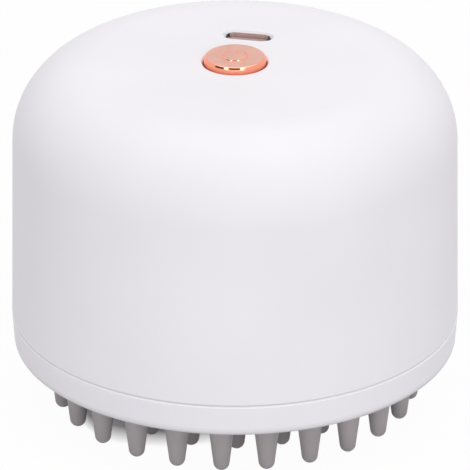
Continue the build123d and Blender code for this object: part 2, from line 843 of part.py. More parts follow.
def motor_windings():
    """Three coils, one round each pole's neck."""
    inner = armature_core_radius + part_gap
    coil_width = pole_neck + 2 * (part_gap + coil_wall)
    outer = sqrt((armature_radius - pole_shoe - part_gap) ** 2 - (coil_width / 2) ** 2)
    coil = block(outer - inner, coil_width, armature_level - coil_wall, armature_top + coil_wall)
    coil -= block(
        outer - inner + overrun, pole_neck + 2 * part_gap, armature_level - fit_gap, armature_top + fit_gap
    )
    return around(coil, (inner + outer) / 2, pole_count, 0)


def motor_commutator():
    """Copper commutator on the shaft."""
    return tube(commutator_radius, shaft_radius + fit_gap / 2, commutator_level, commutator_top)


def eccentric_weight():
    """Half-round weight with its hub on the shaft."""
    half = weight_angle / 2
    reach = 2 * weight_radius
    wedge = Polyline(
        (0, 0),
        (reach * cos(radians(half)), -reach * sin(radians(half))),
        (reach * cos(radians(half)) + reach, 0),
        (reach * cos(radians(half)), reach * sin(radians(half))),
        close=True,
    )
    section = Circle(weight_hub_radius) + (Circle(weight_radius) & make_face(wedge))
    section -= Circle(shaft_radius + fit_gap / 2)
    return Pos(0, 0, weight_level) * extrude(section, weight_height)


pieces = {
    "top_housing": top_housing(),
    "base_housing": base_housing(),
    "housing_screws": housing_screws(),
    "brush_pad": brush_pad(),
    "pad_plate": pad_plate(),
    "power_button": power_button(),
    "switch_body": switch_body(),
    "switch_plunger": switch_plunger(),
    "port_shell": port_shell(),
    "port_tongue": port_tongue(),
    "main_board": main_board(),
    "board_screws": board_screws(),
    "charging_chip": board_chip(charging_chip_size, charging_chip_place),
    "control_chip": board_chip(control_chip_size, control_chip_place),
    "motor_transistor": board_chip(transistor_size, transistor_place),
    "filter_capacitor": filter_capacitor(),
    "battery_cell": battery_cell(),
    "battery_board": battery_board(),
    "battery_foam": battery_foam(),
    "battery_socket": battery_socket(),
    "battery_plug": battery_plug(),
    "battery_leads": battery_leads(),
    "chassis": chassis(),
    "chassis_screws": chassis_screws(),
    "motor_sleeve": motor_sleeve(),
    "motor_clamp": motor_clamp(),
    "clamp_screws": clamp_screws(),
    "motor_can": motor_can(),
    "motor_bush": motor_bush(),
    "motor_end_cap": motor_end_cap(),
    "motor_magnets": motor_magnets(),
    "motor_brushes": motor_brushes(),
    "motor_terminals": motor_terminals(),
    "motor_leads": motor_leads(),
    "motor_shaft": motor_shaft(),
    "motor_armature": motor_armature(),
    "motor_windings": motor_windings(),
    "motor_commutator": motor_commutator(),
    "eccentric_weight": eccentric_weight(),
}

os.makedirs("parts", exist_ok=True)
for name, piece in pieces.items():
    solids = piece if isinstance(piece, list) else [piece]
    group = Compound(children=[solid for shape in solids for solid in shape.solids()])
    export_step(group, os.path.join("parts", name + ".step"))
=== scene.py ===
from math import cos, pi, radians, sin, tan

import bpy
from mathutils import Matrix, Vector


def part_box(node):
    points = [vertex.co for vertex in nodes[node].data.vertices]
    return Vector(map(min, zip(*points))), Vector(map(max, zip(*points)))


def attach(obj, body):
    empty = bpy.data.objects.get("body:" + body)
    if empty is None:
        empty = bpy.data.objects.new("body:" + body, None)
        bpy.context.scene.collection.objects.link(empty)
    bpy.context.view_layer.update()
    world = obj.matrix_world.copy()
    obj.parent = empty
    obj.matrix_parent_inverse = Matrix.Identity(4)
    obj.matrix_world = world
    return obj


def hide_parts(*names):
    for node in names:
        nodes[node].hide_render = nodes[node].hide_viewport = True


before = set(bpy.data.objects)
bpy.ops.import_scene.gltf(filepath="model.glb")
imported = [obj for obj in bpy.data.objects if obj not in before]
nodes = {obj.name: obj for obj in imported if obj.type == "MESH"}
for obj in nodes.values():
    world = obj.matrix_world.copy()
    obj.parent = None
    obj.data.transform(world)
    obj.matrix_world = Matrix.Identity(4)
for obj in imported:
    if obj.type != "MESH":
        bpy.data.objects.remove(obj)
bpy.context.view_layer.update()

# Electric pet massage brush. Metres, +Z up, floor at zero, +Y towards the charging slot.
mm = 0.001

# Places read from the frame
pad_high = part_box("brush_pad")[1]
pad_radius = pad_high.x
ring_foot_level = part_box("base_housing")[0].z
button_low, button_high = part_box("power_button")
button_flange_radius = button_high.x
port_low, port_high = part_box("port_shell")
port_centre = (port_low + port_high) / 2
tongue_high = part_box("port_tongue")[1]

# Ring of the base housing: its seam above, and its foot with the round edge, with painted shade and
# a painted highlight
ring_height = 6.95 * mm
seam_gap = 0.22 * mm
# The seam's dark band is painted shade, and the light band under it is a painted highlight on the
# lip
seam_painted_shade_drop = 0.08 * mm
seam_painted_shade_reach = 0.1 * mm
seam_painted_highlight_drop = 0.33 * mm
seam_painted_highlight_reach = 0.15 * mm
seam_tone_soft = 0.02 * mm
# The foot's darkening where it turns under is painted shade
foot_painted_shade_height = 1.8 * mm
foot_painted_shades = [(0.0, 1.0), (0.03, 0.5), (0.12, 0.55), (0.33, 0.8), (0.67, 0.91), (1.0, 1.0)]

# Brush pad
pad_recess = 0.8 * mm
pad_web = 2.0 * mm
pad_lip = 0.8 * mm
pad_rim_wall = 1.5 * mm
pad_lip_width = 2.8 * mm
pad_rim_round = 0.5 * mm
pad_round_steps = 5
pad_sides = 192
pin_edge_room = 6.3 * mm
pin_ring_shares = [1.0, 0.74, 0.49, 0.245, 0.0]
pin_ring_counts = [25, 18, 12, 6, 1]
pin_ring_starts = [-82.8, -77.8, -75.0, -60.0, 0.0]
pin_sides = 32
pin_tip_radius = 1.62 * mm
pin_draft = 7.0
pin_cove = 0.7 * mm
pin_cove_steps = 5
pin_dome_end = 80.0
pin_dome_steps = 9
pin_tip_flat = 0.1 * mm

# Power button
button_radius = 6.25 * mm
button_face_radius = 5.8 * mm
button_bevel_height = 0.45 * mm
button_bevel_angle = 45.0
button_bevel_soft = 0.3 * mm
button_bevel_steps = 5
button_wall = 1.2 * mm
button_stem_radius = 1.75 * mm
button_flange_wall = 0.9 * mm
button_sides = 160
sign_ring_radius = 2.5 * mm
sign_line = 0.42 * mm
sign_rise = 0.12 * mm
sign_root = 0.1 * mm
sign_top = 0.18 * mm
sign_foot = 0.62 * mm
sign_gap_angle = 76.0
sign_bar_length = 2.4 * mm
sign_sides = 16
sign_ring_steps = 96
satin_face_inset = 0.2 * mm
satin_face_overlap = 0.05 * mm
satin_rise_share = 0.1
polished_rise_share = 0.4

# Charging receptacle
# Past this reach the receptacle's round ends are painted near-black, as painted shade and painted
# dark reflection
port_painted_shade_end = 3.92 * mm
port_painted_shade_soft = 0.1 * mm
port_rim_depth = 0.1 * mm
port_rim_soft = 0.02 * mm
contact_count = 12
contact_pitch = 0.5 * mm
contact_width = 0.25 * mm
contact_length = 3.6 * mm
contact_wall = 0.06 * mm
contact_sink = 0.4 * mm
tongue_half_wall = 0.35 * mm

# Patterns of the materials. At a scale of one a wave texture has one band in each band_length
tone_stops = (0.3, 0.7)
streak_share = 0.15
track_scale = 120.0
track_width = 0.06
lead_split = -9 * mm
band_length = 2 * pi / 20
band_depth_share = 0.05

# Shading of the scene's own pieces
crease_angle = 35
weld_reach = 0.002 * mm

# Camera
target_level = 34.4 * mm
camera_distance = 1161 * mm
camera_elevation = 25.57
camera_azimuth = 11.5
camera_lens = 441.6
camera_sensor = 36.0
camera_clip = 20

# Surround and floor. Each shade round has its centre, its radius and the width of its soft edge
surround_light = 0.53
surround_tint = (0.975, 0.97, 1.0, 1)
floor_size = 6
floor_drop = 0.02 * mm
floor_tone = (0.73, 0.73, 0.745, 1)
floor_rough = 0.9
floor_specular = 0.1
floor_glow = (0.1, 0.97)
shade_rounds = [((-14 * mm, 0), 22 * mm, 7 * mm), ((0, 0), 32 * mm, 3 * mm)]

# Lamps: name, place, width, height and power
softboxes = [
    ("overhead_softbox", (0.0, 0.2, 1.28), 1.4, 1.4, 9.1),
    ("right_softbox", (0.79, -0.96, 0.80), 0.6, 0.6, 1.7),
    ("low_softbox", (0.25, -1.25, 0.30), 1.6, 0.45, 4.4),
]

# Cards that give the button its glints: name, spot as the camera faces it, turn, length and power.
# A card without power is a grey flag
card_level = 1.15
card_width = 0.45
glint_cards = [
    ("centre_flag", (-0.02, -0.42), 3, 0.56, 0),
    ("left_flag", (-0.82, -0.07), 140, 0.68, 0),
    ("left_strip", (-0.45, -0.36), 156, 0.20, 0.75),
    ("right_strip", (0.36, -0.40), 17, 0.18, 0.65),
]


def paint(red, green, blue):
    """Linear colour from the 0 to 255 values that a painter's chart gives."""
    channels = []
    for value in (red, green, blue):
        part = value / 255
        channels.append(part / 12.92 if part <= 0.04045 else ((part + 0.055) / 1.055) ** 2.4)
    return (*channels, 1.0)


def lone():
    """Leaves nothing selected, so that an operator acts on the new piece alone."""
    if bpy.context.object and bpy.context.object.mode == "EDIT":
        bpy.ops.object.mode_set(mode="OBJECT")
    bpy.ops.object.select_all(action="DESELECT")


def named(name):
    """Names the piece that was just made."""
    piece = bpy.context.object
    piece.name = name
    piece.data.name = name
    return piece


def settle(piece):
    """Puts a piece's place into its mesh and leaves its object at the origin."""
    lone()
    piece.select_set(True)
    bpy.context.view_layer.objects.active = piece
    bpy.ops.object.transform_apply(location=True, rotation=True, scale=True)


def close_up(piece):
    """Merges doubles and turns all faces outwards."""
    lone()
    piece.select_set(True)
    bpy.context.view_layer.objects.active = piece
    bpy.ops.object.mode_set(mode="EDIT")
    bpy.ops.mesh.select_all(action="SELECT")
    bpy.ops.mesh.remove_doubles(threshold=weld_reach)
    bpy.ops.mesh.normals_make_consistent(inside=False)
    bpy.ops.object.mode_set(mode="OBJECT")


def smooth(piece):
    """Smooth shading, with edges kept sharp past the crease angle."""
    lone()
    piece.select_set(True)
    bpy.context.view_layer.objects.active = piece
    bpy.ops.object.shade_smooth_by_angle(angle=radians(crease_angle))


def turned(name, outline, sides):
    """Solid turned about the axis: a disc drawn up through rings of radius and level."""
    lone()
    radius, level = outline[0]
    bpy.ops.mesh.primitive_circle_add(
        vertices=sides, radius=radius, fill_type="NGON", location=(0, 0, level)
    )
    piece = named(name)
    settle(piece)
    bpy.ops.object.mode_set(mode="EDIT")
    bpy.ops.mesh.select_all(action="SELECT")
    for next_radius, next_level in outline[1:]:
        lift = (0, 0, next_level - level)
        bpy.ops.mesh.extrude_region_move(TRANSFORM_OT_translate={"value": lift})
        share = next_radius / radius
        bpy.ops.transform.resize(value=(share, share, 1), center_override=(0, 0, next_level))
        radius, level = next_radius, next_level
    bpy.ops.object.mode_set(mode="OBJECT")
    close_up(piece)
    return piece


def copy_to(piece, name, spot):
    """A copy of a piece with its own mesh, moved to a spot on the level."""
    lone()
    piece.select_set(True)
    bpy.context.view_layer.objects.active = piece
    bpy.ops.object.duplicate(linked=False)
    twin = named(name)
    twin.location = (spot[0], spot[1], 0)
    return twin


def join(name, pieces):
    """Joins pieces into one object."""
    lone()
    for piece in pieces:
        piece.select_set(True)
    bpy.context.view_layer.objects.active = pieces[0]
    bpy.ops.object.join()
    joined = named(name)
    settle(joined)
    return joined


def unite(piece, other, crossed=False):
    """Adds another piece to a piece as one closed skin."""
    lone()
    bpy.context.view_layer.objects.active = piece
    piece.select_set(True)
    union = piece.modifiers.new("union", "BOOLEAN")
    union.operation = "UNION"
    union.solver = "EXACT"
    union.use_self = crossed
    union.object = other
    bpy.ops.object.modifier_apply(modifier=union.name)
    bpy.data.objects.remove(other)
    return piece


def pick(piece, test):
    """Opens a piece for editing with only the points selected that pass a test on their place."""
    bpy.ops.object.mode_set(mode="EDIT")
    bpy.ops.mesh.select_all(action="DESELECT")
    bpy.ops.object.mode_set(mode="OBJECT")
    for vertex in piece.data.vertices:
        vertex.select = test(vertex.co)
    bpy.ops.object.mode_set(mode="EDIT")


def arc(radius, centre, start, end, steps):
    """Points of radius and level along an arc of an outline, angles in degrees from outwards."""
    turns = [radians(start + (end - start) * i / steps) for i in range(steps + 1)]
    return [(centre[0] + radius * cos(turn), centre[1] + radius * sin(turn)) for turn in turns]


def add_node(tree, kind, values=None, **settings):
    """Adds a shader node, sets its options and sets or links its sockets."""
    node = tree.nodes.new(kind)
    for key, value in settings.items():
        setattr(node, key, value)
    for key, value in (values or {}).items():
        if isinstance(value, bpy.types.NodeSocket):
            tree.links.new(value, node.inputs[key])
        else:
            node.inputs[key].default_value = value
    return node


def maths(tree, operation, *values):
    """Result of an operation on numbers or sockets."""
    return add_node(
        tree, "ShaderNodeMath", dict(enumerate(values)), operation=operation
    ).outputs[0]


def spread(tree, value, start, end, low=0.0, high=1.0):
    """Number that runs from low to high as a value runs from start to end."""
    span = {"Value": value, "From Min": start, "From Max": end, "To Min": low, "To Max": high}
    return add_node(tree, "ShaderNodeMapRange", span).outputs["Result"]


def between(tree, factor, low, high):
    """Number that runs from low to high as the factor runs from 0 to 1."""
    return spread(tree, factor, 0.0, 1.0, low, high)


def blend(tree, factor, first, second, way="MIX"):
    """Colour that runs from the first to the second as the factor runs from 0 to 1."""
    return add_node(
        tree, "ShaderNodeMix", {"Factor": factor, "A": first, "B": second},
        data_type="RGBA", blend_type=way,
    ).outputs["Result"]


def noise(tree, place, scale, detail, **values):
    """Noise from 0 to 1 over a place."""
    values = {"Vector": place, "Scale": scale, "Detail": detail, **values}
    return add_node(tree, "ShaderNodeTexNoise", values).outputs["Fac"]


def object_place(tree):
    """Place on a piece, in the object's own frame."""
    return add_node(tree, "ShaderNodeTexCoord").outputs["Object"]


def place_parts(tree):
    """The place on a piece as its X, Y and Z."""
    return tuple(add_node(tree, "ShaderNodeSeparateXYZ", {0: object_place(tree)}).outputs)


def find_node(tree, kind):
    """The only node of a kind in a tree."""
    return next(node for node in tree.nodes if node.type == kind)


def new_group(name, inputs, outputs):
    """Shader node group with named number inputs and outputs."""
    tree = bpy.data.node_groups.new(name, "ShaderNodeTree")
    for label, value in inputs.items():
        socket = tree.interface.new_socket(label, in_out="INPUT", socket_type="NodeSocketFloat")
        socket.default_value = value
    for label in outputs:
        tree.interface.new_socket(label, in_out="OUTPUT", socket_type="NodeSocketFloat")
    entry = tree.nodes.new("NodeGroupInput")
    leave = tree.nodes.new("NodeGroupOutput")
    return tree, entry, leave


def moulded_grain_group():
    """Fine eroded grain of a moulded skin, with slow waves and faint smudges."""
    sizes = {"Grain size": 0.3 * mm, "Wave size": 20 * mm}
    tree, entry, leave = new_group("moulded_grain", sizes, ["Grain", "Wave", "Smudge"])
    place = object_place(tree)
    fine = maths(tree, "DIVIDE", 1.0, entry.outputs["Grain size"])
    slow = maths(tree, "DIVIDE", 1.0, entry.outputs["Wave size"])
    grain = noise(tree, place, fine, detail=2.0, Roughness=0.6)
    wave = noise(tree, place, slow, detail=1.0)
    smudge = noise(tree, place, slow, detail=5.0, Roughness=0.7, Distortion=1.5)
    tree.links.new(grain, leave.inputs["Grain"])
    tree.links.new(wave, leave.inputs["Wave"])
    tree.links.new(smudge, leave.inputs["Smudge"])
    return tree


def drawn_lines_group():
    """Fine lines along one way, as on drawn, rolled or brushed metal."""
    sizes = {"Across X": 1.0, "Across Y": 1.0, "Across Z": 0.05, "Line size": 0.2 * mm}
    tree, entry, leave = new_group("drawn_lines", sizes, ["Line", "Streak"])
    stretch = add_node(
        tree, "ShaderNodeCombineXYZ",
        {0: entry.outputs["Across X"], 1: entry.outputs["Across Y"], 2: entry.outputs["Across Z"]},
    )
    drawn = add_node(
        tree, "ShaderNodeVectorMath", {0: object_place(tree), 1: stretch.outputs[0]},
        operation="MULTIPLY",
    ).outputs[0]
    fine = maths(tree, "DIVIDE", 1.0, entry.outputs["Line size"])
    wide = maths(tree, "MULTIPLY", fine, streak_share)
    tree.links.new(noise(tree, drawn, fine, detail=2.0), leave.inputs["Line"])
    tree.links.new(noise(tree, drawn, wide, detail=3.0), leave.inputs["Streak"])
    return tree


def speckle_group():
    """Scattered grains, as in sintered metal, ferrite or foam."""
    tree, entry, leave = new_group("speckle", {"Grain size": 0.4 * mm}, ["Cell", "Edge"])
    fine = maths(tree, "DIVIDE", 1.0, entry.outputs["Grain size"])
    cell = add_node(tree, "ShaderNodeTexVoronoi", {"Vector": object_place(tree), "Scale": fine})
    shade = add_node(tree, "ShaderNodeSeparateColor", {0: cell.outputs["Color"]})
    tree.links.new(shade.outputs[0], leave.inputs["Cell"])
    tree.links.new(cell.outputs["Distance"], leave.inputs["Edge"])
    return tree


moulded_grain = moulded_grain_group()
drawn_lines = drawn_lines_group()
speckle = speckle_group()


def blank_material(name):
    """Empty material with its output and a Principled BSDF."""
    material = bpy.data.materials.new(name)
    material.use_nodes = True
    tree = material.node_tree
    tree.nodes.clear()
    shader = tree.nodes.new("ShaderNodeBsdfPrincipled")
    output = tree.nodes.new("ShaderNodeOutputMaterial")
    tree.links.new(shader.outputs[0], output.inputs["Surface"])
    return material, tree, shader


def tones(tree, factor, dark, light):
    """Colour that runs from a dark to a light paint as the factor runs between two stops."""
    ramp = add_node(tree, "ShaderNodeValToRGB", {"Fac": factor})
    for stop, position, colour in zip(ramp.color_ramp.elements, tone_stops, (dark, light)):
        stop.position = position
        stop.color = paint(*colour)
    return ramp.outputs["Color"]


def raise_skin(tree, shader, height, depth):
    """Bump of a given depth on the shader's normal."""
    bump = add_node(tree, "ShaderNodeBump", {"Height": height, "Distance": depth, "Strength": 1.0})
    tree.links.new(bump.outputs["Normal"], shader.inputs["Normal"])


def dress(tree, shader, tone, gloss, height, depth):
    """Links a shader's colour and gloss, and raises its skin."""
    tree.links.new(tone, shader.inputs["Base Color"])
    tree.links.new(gloss, shader.inputs["Roughness"])
    raise_skin(tree, shader, height, depth)


def moulded(name, dark, light, rough, grain_size, grain_depth, wave_size, settings=None):
    """Moulded plastic or rubber: tinted grain, a fine skin and uneven gloss."""
    material, tree, shader = blank_material(name)
    grain = add_node(
        tree, "ShaderNodeGroup", {"Grain size": grain_size, "Wave size": wave_size},
        node_tree=moulded_grain,
    )
    tone = tones(tree, grain.outputs["Wave"], dark, light)
    gloss = between(tree, grain.outputs["Smudge"], *rough)
    dress(tree, shader, tone, gloss, grain.outputs["Grain"], grain_depth)
    for key, value in (settings or {}).items():
        shader.inputs[key].default_value = value
    return material


def drawn_metal(name, dark, light, rough, line_size, line_depth, across=(1.0, 1.0, 0.05)):
    """Bare or plated metal with fine lines along one way."""
    material, tree, shader = blank_material(name)
    sizes = dict(zip(("Across X", "Across Y", "Across Z"), across))
    lines = add_node(
        tree, "ShaderNodeGroup", {"Line size": line_size, **sizes}, node_tree=drawn_lines
    )
    tone = tones(tree, lines.outputs["Streak"], dark, light)
    gloss = between(tree, lines.outputs["Line"], *rough)
    dress(tree, shader, tone, gloss, lines.outputs["Line"], line_depth)
    shader.inputs["Metallic"].default_value = 1.0
    return material


def grained(name, dark, light, rough, grain_size, grain_depth, metallic=0.0):
    """Pressed or sintered material with visible grains."""
    material, tree, shader = blank_material(name)
    spots = add_node(tree, "ShaderNodeGroup", {"Grain size": grain_size}, node_tree=speckle)
    tone = tones(tree, spots.outputs["Cell"], dark, light)
    gloss = between(tree, spots.outputs["Cell"], *rough)
    dress(tree, shader, tone, gloss, spots.outputs["Edge"], grain_depth)
    shader.inputs["Metallic"].default_value = metallic
    return material


def layered(name, dark, light, rough, pitch, metallic):
    """Stacked sheets or wound wire: even lines across the axis."""
    material, tree, shader = blank_material(name)
    layer = add_node(
        tree, "ShaderNodeTexWave",
        {
            "Vector": object_place(tree),
            "Scale": band_length / pitch,
            "Distortion": 0.2,
            "Detail": 1.0,
        },
        wave_type="BANDS", bands_direction="Z",
    ).outputs["Fac"]
    tone = tones(tree, layer, dark, light)
    gloss = between(tree, layer, *rough)
    dress(tree, shader, tone, gloss, layer, depth=pitch * band_depth_share)
    shader.inputs["Metallic"].default_value = metallic
    return material


def tone_band(tree, plain, away, reach, tone):
    """A plain colour with another tone up to a reach from the middle of a band."""
    inside = spread(tree, away, reach - seam_tone_soft, reach + seam_tone_soft, 1.0, 0.0)
    return blend(tree, inside, plain, paint(*tone))


def white_ring_material():
    """The housing's white, with painted shade where the foot turns under, painted shade in the seam
    and a painted highlight on the lip.
    """
    material = moulded("white_ring", **shell_look)
    tree = material.node_tree
    socket = find_node(tree, "BSDF_PRINCIPLED").inputs["Base Color"]
    height = place_parts(tree)[2]
    # Painted shade: the white is darkened towards the foot, where it turns under
    rise = spread(tree, height, ring_foot_level, ring_foot_level + foot_painted_shade_height)
    ramp = add_node(tree, "ShaderNodeValToRGB", {"Fac": rise})
    stops = ramp.color_ramp.elements
    for position, share in foot_painted_shades[1:-1]:
        stops.new(position)
    for stop, (position, share) in zip(stops, foot_painted_shades):
        stop.color = (share, share, share, 1)
    tone = blend(tree, 1.0, socket.links[0].from_socket, ramp.outputs["Color"], "MULTIPLY")
    seam_low = ring_foot_level + ring_height - seam_gap / 2
    # Painted shade in the seam, and a painted highlight on the lip under it
    bands = [
        (seam_painted_shade_drop, seam_painted_shade_reach, (231, 229, 232)),
        (seam_painted_highlight_drop, seam_painted_highlight_reach, (254, 254, 254)),
    ]
    for drop, reach, painted_band_tone in bands:
        away = maths(tree, "ABSOLUTE", maths(tree, "SUBTRACT", height, seam_low - drop))
        tone = tone_band(tree, tone, away, reach, painted_band_tone)
    tree.links.new(tone, socket)
    return material


def rose_gold_material():
    """Plated cap: satin on its flat face, polished on its rolled edge, side and raised sign."""
    material, tree, shader = blank_material("rose_gold_plating")
    x, y, z = place_parts(tree)
    flat = add_node(tree, "ShaderNodeCombineXYZ", {0: x, 1: y})
    reach = add_node(tree, "ShaderNodeVectorMath", {0: flat.outputs[0]}, operation="LENGTH")
    satin_end = button_face_radius - satin_face_inset
    polish_start = button_face_radius + satin_face_overlap
    within = spread(tree, reach.outputs["Value"], satin_end, polish_start, 1.0, 0.0)
    face_level = button_high.z - sign_rise
    satin_top = face_level + satin_rise_share * sign_rise
    polish_low = face_level + polished_rise_share * sign_rise
    face = maths(tree, "MULTIPLY", within, spread(tree, z, satin_top, polish_low, 1.0, 0.0))
    grain = add_node(
        tree, "ShaderNodeGroup", {"Grain size": 0.12 * mm, "Wave size": 3 * mm},
        node_tree=moulded_grain,
    )
    satin = tones(tree, grain.outputs["Wave"], (214, 163, 148), (222, 172, 157))
    tone = blend(tree, face, paint(247, 160, 132), satin)
    sand = maths(tree, "MULTIPLY", grain.outputs["Grain"], face)
    gloss = between(tree, face, low=0.07, high=0.34)
    dress(tree, shader, tone, gloss, sand, depth=0.004 * mm)
    shader.inputs["Metallic"].default_value = 1.0
    return material


def receptacle_material():
    """Satin nickel, warm in the mouth, darker on its top rim, with painted shade and painted dark
    reflection in near-black on its round ends.
    """
    material, tree, shader = blank_material("receptacle_nickel")
    x, _, z = place_parts(tree)
    reach = maths(tree, "ABSOLUTE", x)
    # Painted shade and painted dark reflection: the round ends past this reach turn near-black
    end = spread(tree, reach, port_painted_shade_end - port_painted_shade_soft, port_painted_shade_end + port_painted_shade_soft)
    rim = spread(tree, z, port_high.z - port_rim_depth, port_high.z - port_rim_soft)
    lines = add_node(tree, "ShaderNodeGroup", {"Line size": 0.12 * mm}, node_tree=drawn_lines)
    warm = tones(tree, lines.outputs["Streak"], (232, 198, 190), (244, 212, 204))
    tone = blend(tree, end, blend(tree, rim, warm, paint(158, 132, 128)), paint(30, 18, 15))
    gloss = between(tree, lines.outputs["Line"], low=0.42, high=0.55)
    dress(tree, shader, tone, gloss, lines.outputs["Line"], depth=0.004 * mm)
    shader.inputs["Metallic"].default_value = 0.3
    return material


def circuit_material():
    """Green solder mask with copper tracks showing through as lighter lines."""
    material, tree, shader = blank_material("solder_mask")
    track = add_node(
        tree, "ShaderNodeTexBrick",
        {"Vector": object_place(tree), "Scale": track_scale, "Mortar Size": track_width},
    ).outputs["Fac"]
    tone = blend(tree, track, paint(16, 84, 44), paint(38, 118, 62))
    gloss = between(tree, track, low=0.34, high=0.22)
    dress(tree, shader, tone, gloss, track, depth=0.03 * mm)
    shader.inputs["Coat Weight"].default_value = 0.3
    return material


def lead_material():
    """Insulation: red on the +X wire of a pair and black on the other."""
    material, tree, shader = blank_material("lead_insulation")
    side = maths(tree, "GREATER_THAN", place_parts(tree)[0], lead_split)
    grain = add_node(tree, "ShaderNodeGroup", {"Grain size": 0.2 * mm}, node_tree=moulded_grain)
    tone = blend(tree, side, paint(28, 27, 28), paint(170, 26, 24))
    gloss = between(tree, grain.outputs["Smudge"], low=0.35, high=0.5)
    dress(tree, shader, tone, gloss, grain.outputs["Grain"], depth=0.01 * mm)
    return material


shell_look = dict(
    dark=(239, 237, 240), light=(242, 240, 243), rough=(0.5, 0.58),
    grain_size=0.22 * mm, grain_depth=0.004 * mm, wave_size=25 * mm,
    settings={"Specular IOR Level": 0.25},
)
white_shell = moulded("white_shell", **shell_look)
white_ring = white_ring_material()
pin_silicone = moulded(
    "pin_silicone", dark=(166, 160, 160), light=(174, 168, 168), rough=(0.5, 0.62),
    grain_size=0.35 * mm, grain_depth=0.012 * mm, wave_size=6 * mm,
    settings={"Specular IOR Level": 0.35, "Sheen Weight": 0.12, "Sheen Roughness": 0.4},
)
rose_gold = rose_gold_material()
receptacle_nickel = receptacle_material()
tongue_resin = moulded(
    "tongue_resin", dark=(166, 138, 132), light=(180, 152, 145), rough=(0.4, 0.5),
    grain_size=0.15 * mm, grain_depth=0.006 * mm, wave_size=3 * mm,
)
black_plastic = moulded(
    "black_plastic", dark=(22, 22, 24), light=(32, 32, 34), rough=(0.4, 0.5),
    grain_size=0.15 * mm, grain_depth=0.008 * mm, wave_size=4 * mm,
)
inner_plastic = moulded(
    "inner_plastic", dark=(150, 152, 156), light=(168, 170, 173), rough=(0.42, 0.55),
    grain_size=0.3 * mm, grain_depth=0.015 * mm, wave_size=8 * mm,
)
connector_plastic = moulded(
    "connector_plastic", dark=(222, 216, 200), light=(234, 229, 214), rough=(0.35, 0.45),
    grain_size=0.15 * mm, grain_depth=0.006 * mm, wave_size=3 * mm,
)
black_rubber = moulded(
    "black_rubber", dark=(30, 30, 31), light=(44, 44, 45), rough=(0.62, 0.75),
    grain_size=0.25 * mm, grain_depth=0.02 * mm, wave_size=5 * mm,
)
cell_foil = moulded(
    "cell_foil", dark=(170, 172, 176), light=(196, 198, 202), rough=(0.24, 0.42),
    grain_size=1.6 * mm, grain_depth=0.06 * mm, wave_size=5 * mm, settings={"Metallic": 1.0},
)
solder_mask = circuit_material()
lead_insulation = lead_material()
screw_steel = drawn_metal(
    "screw_steel", dark=(160, 162, 166), light=(196, 198, 202), rough=(0.22, 0.38),
    line_size=0.1 * mm, line_depth=0.004 * mm, across=(1.0, 1.0, 1.0),
)
can_steel = drawn_metal(
    "can_steel", dark=(164, 166, 170), light=(192, 194, 197), rough=(0.25, 0.4),
    line_size=0.15 * mm, line_depth=0.004 * mm,
)
ground_steel = drawn_metal(
    "ground_steel", dark=(176, 177, 180), light=(204, 205, 208), rough=(0.16, 0.3),
    line_size=0.08 * mm, line_depth=0.003 * mm, across=(0.1, 0.1, 1.0),
)
can_aluminium = drawn_metal(
    "can_aluminium", dark=(196, 198, 201), light=(216, 218, 220), rough=(0.25, 0.38),
    line_size=0.1 * mm, line_depth=0.003 * mm,
)
copper = drawn_metal(
    "copper", dark=(190, 116, 82), light=(218, 146, 108), rough=(0.2, 0.35),
    line_size=0.12 * mm, line_depth=0.004 * mm, across=(1.0, 0.1, 1.0),
)
foam = grained(
    "foam", dark=(24, 24, 26), light=(44, 44, 47), rough=(0.8, 0.95),
    grain_size=0.5 * mm, grain_depth=0.2 * mm,
)
bronze = grained(
    "bronze", dark=(150, 112, 66), light=(186, 146, 92), rough=(0.35, 0.55),
    grain_size=0.25 * mm, grain_depth=0.02 * mm, metallic=1.0,
)
ferrite = grained(
    "ferrite", dark=(44, 44, 47), light=(62, 62, 66), rough=(0.5, 0.65),
    grain_size=0.3 * mm, grain_depth=0.02 * mm,
)
flag_cloth = grained(
    "flag_cloth", dark=(118, 118, 120), light=(136, 136, 138), rough=(0.9, 1.0),
    grain_size=2 * mm, grain_depth=0.2 * mm,
)
coil_wire = layered(
    "coil_wire", dark=(120, 52, 24), light=(206, 116, 66), rough=(0.25, 0.4),
    pitch=1.25 * mm, metallic=0.8,
)
lamination = layered(
    "lamination", dark=(92, 93, 96), light=(132, 133, 136), rough=(0.35, 0.5),
    pitch=2.5 * mm, metallic=1.0,
)

# What each solid is made of. The fasteners aren't listed: they are all of screw steel
finishes = {
    "top_housing": white_shell,
    "base_housing": white_ring,
    "brush_pad": pin_silicone,
    "pad_plate": inner_plastic,
    "power_button": rose_gold,
    "switch_body": black_plastic,
    "switch_plunger": black_plastic,
    "port_shell": receptacle_nickel,
    "port_tongue": tongue_resin,
    "main_board": solder_mask,
    "charging_chip": black_plastic,
    "control_chip": black_plastic,
    "motor_transistor": black_plastic,
    "filter_capacitor": can_aluminium,
    "battery_cell": cell_foil,
    "battery_board": solder_mask,
    "battery_foam": foam,
    "battery_socket": connector_plastic,
    "battery_plug": connector_plastic,
    "battery_leads": lead_insulation,
    "motor_leads": lead_insulation,
    "chassis": inner_plastic,
    "motor_clamp": inner_plastic,
    "motor_sleeve": black_rubber,
    "motor_can": can_steel,
    "motor_bush": bronze,
    "motor_end_cap": black_plastic,
    "motor_magnets": ferrite,
    "motor_brushes": copper,
    "motor_terminals": copper,
    "motor_shaft": ground_steel,
    "motor_armature": lamination,
    "motor_windings": coil_wire,
    "motor_commutator": copper,
    "eccentric_weight": ground_steel,
}


def wear(piece, material):
    """Gives a piece one material in all its slots."""
    if piece.data.materials:
        for i in range(len(piece.data.materials)):
            piece.data.materials[i] = material
    else:
        piece.data.materials.append(material)


for name, node in nodes.items():
    wear(node, finishes.get(name, screw_steel))


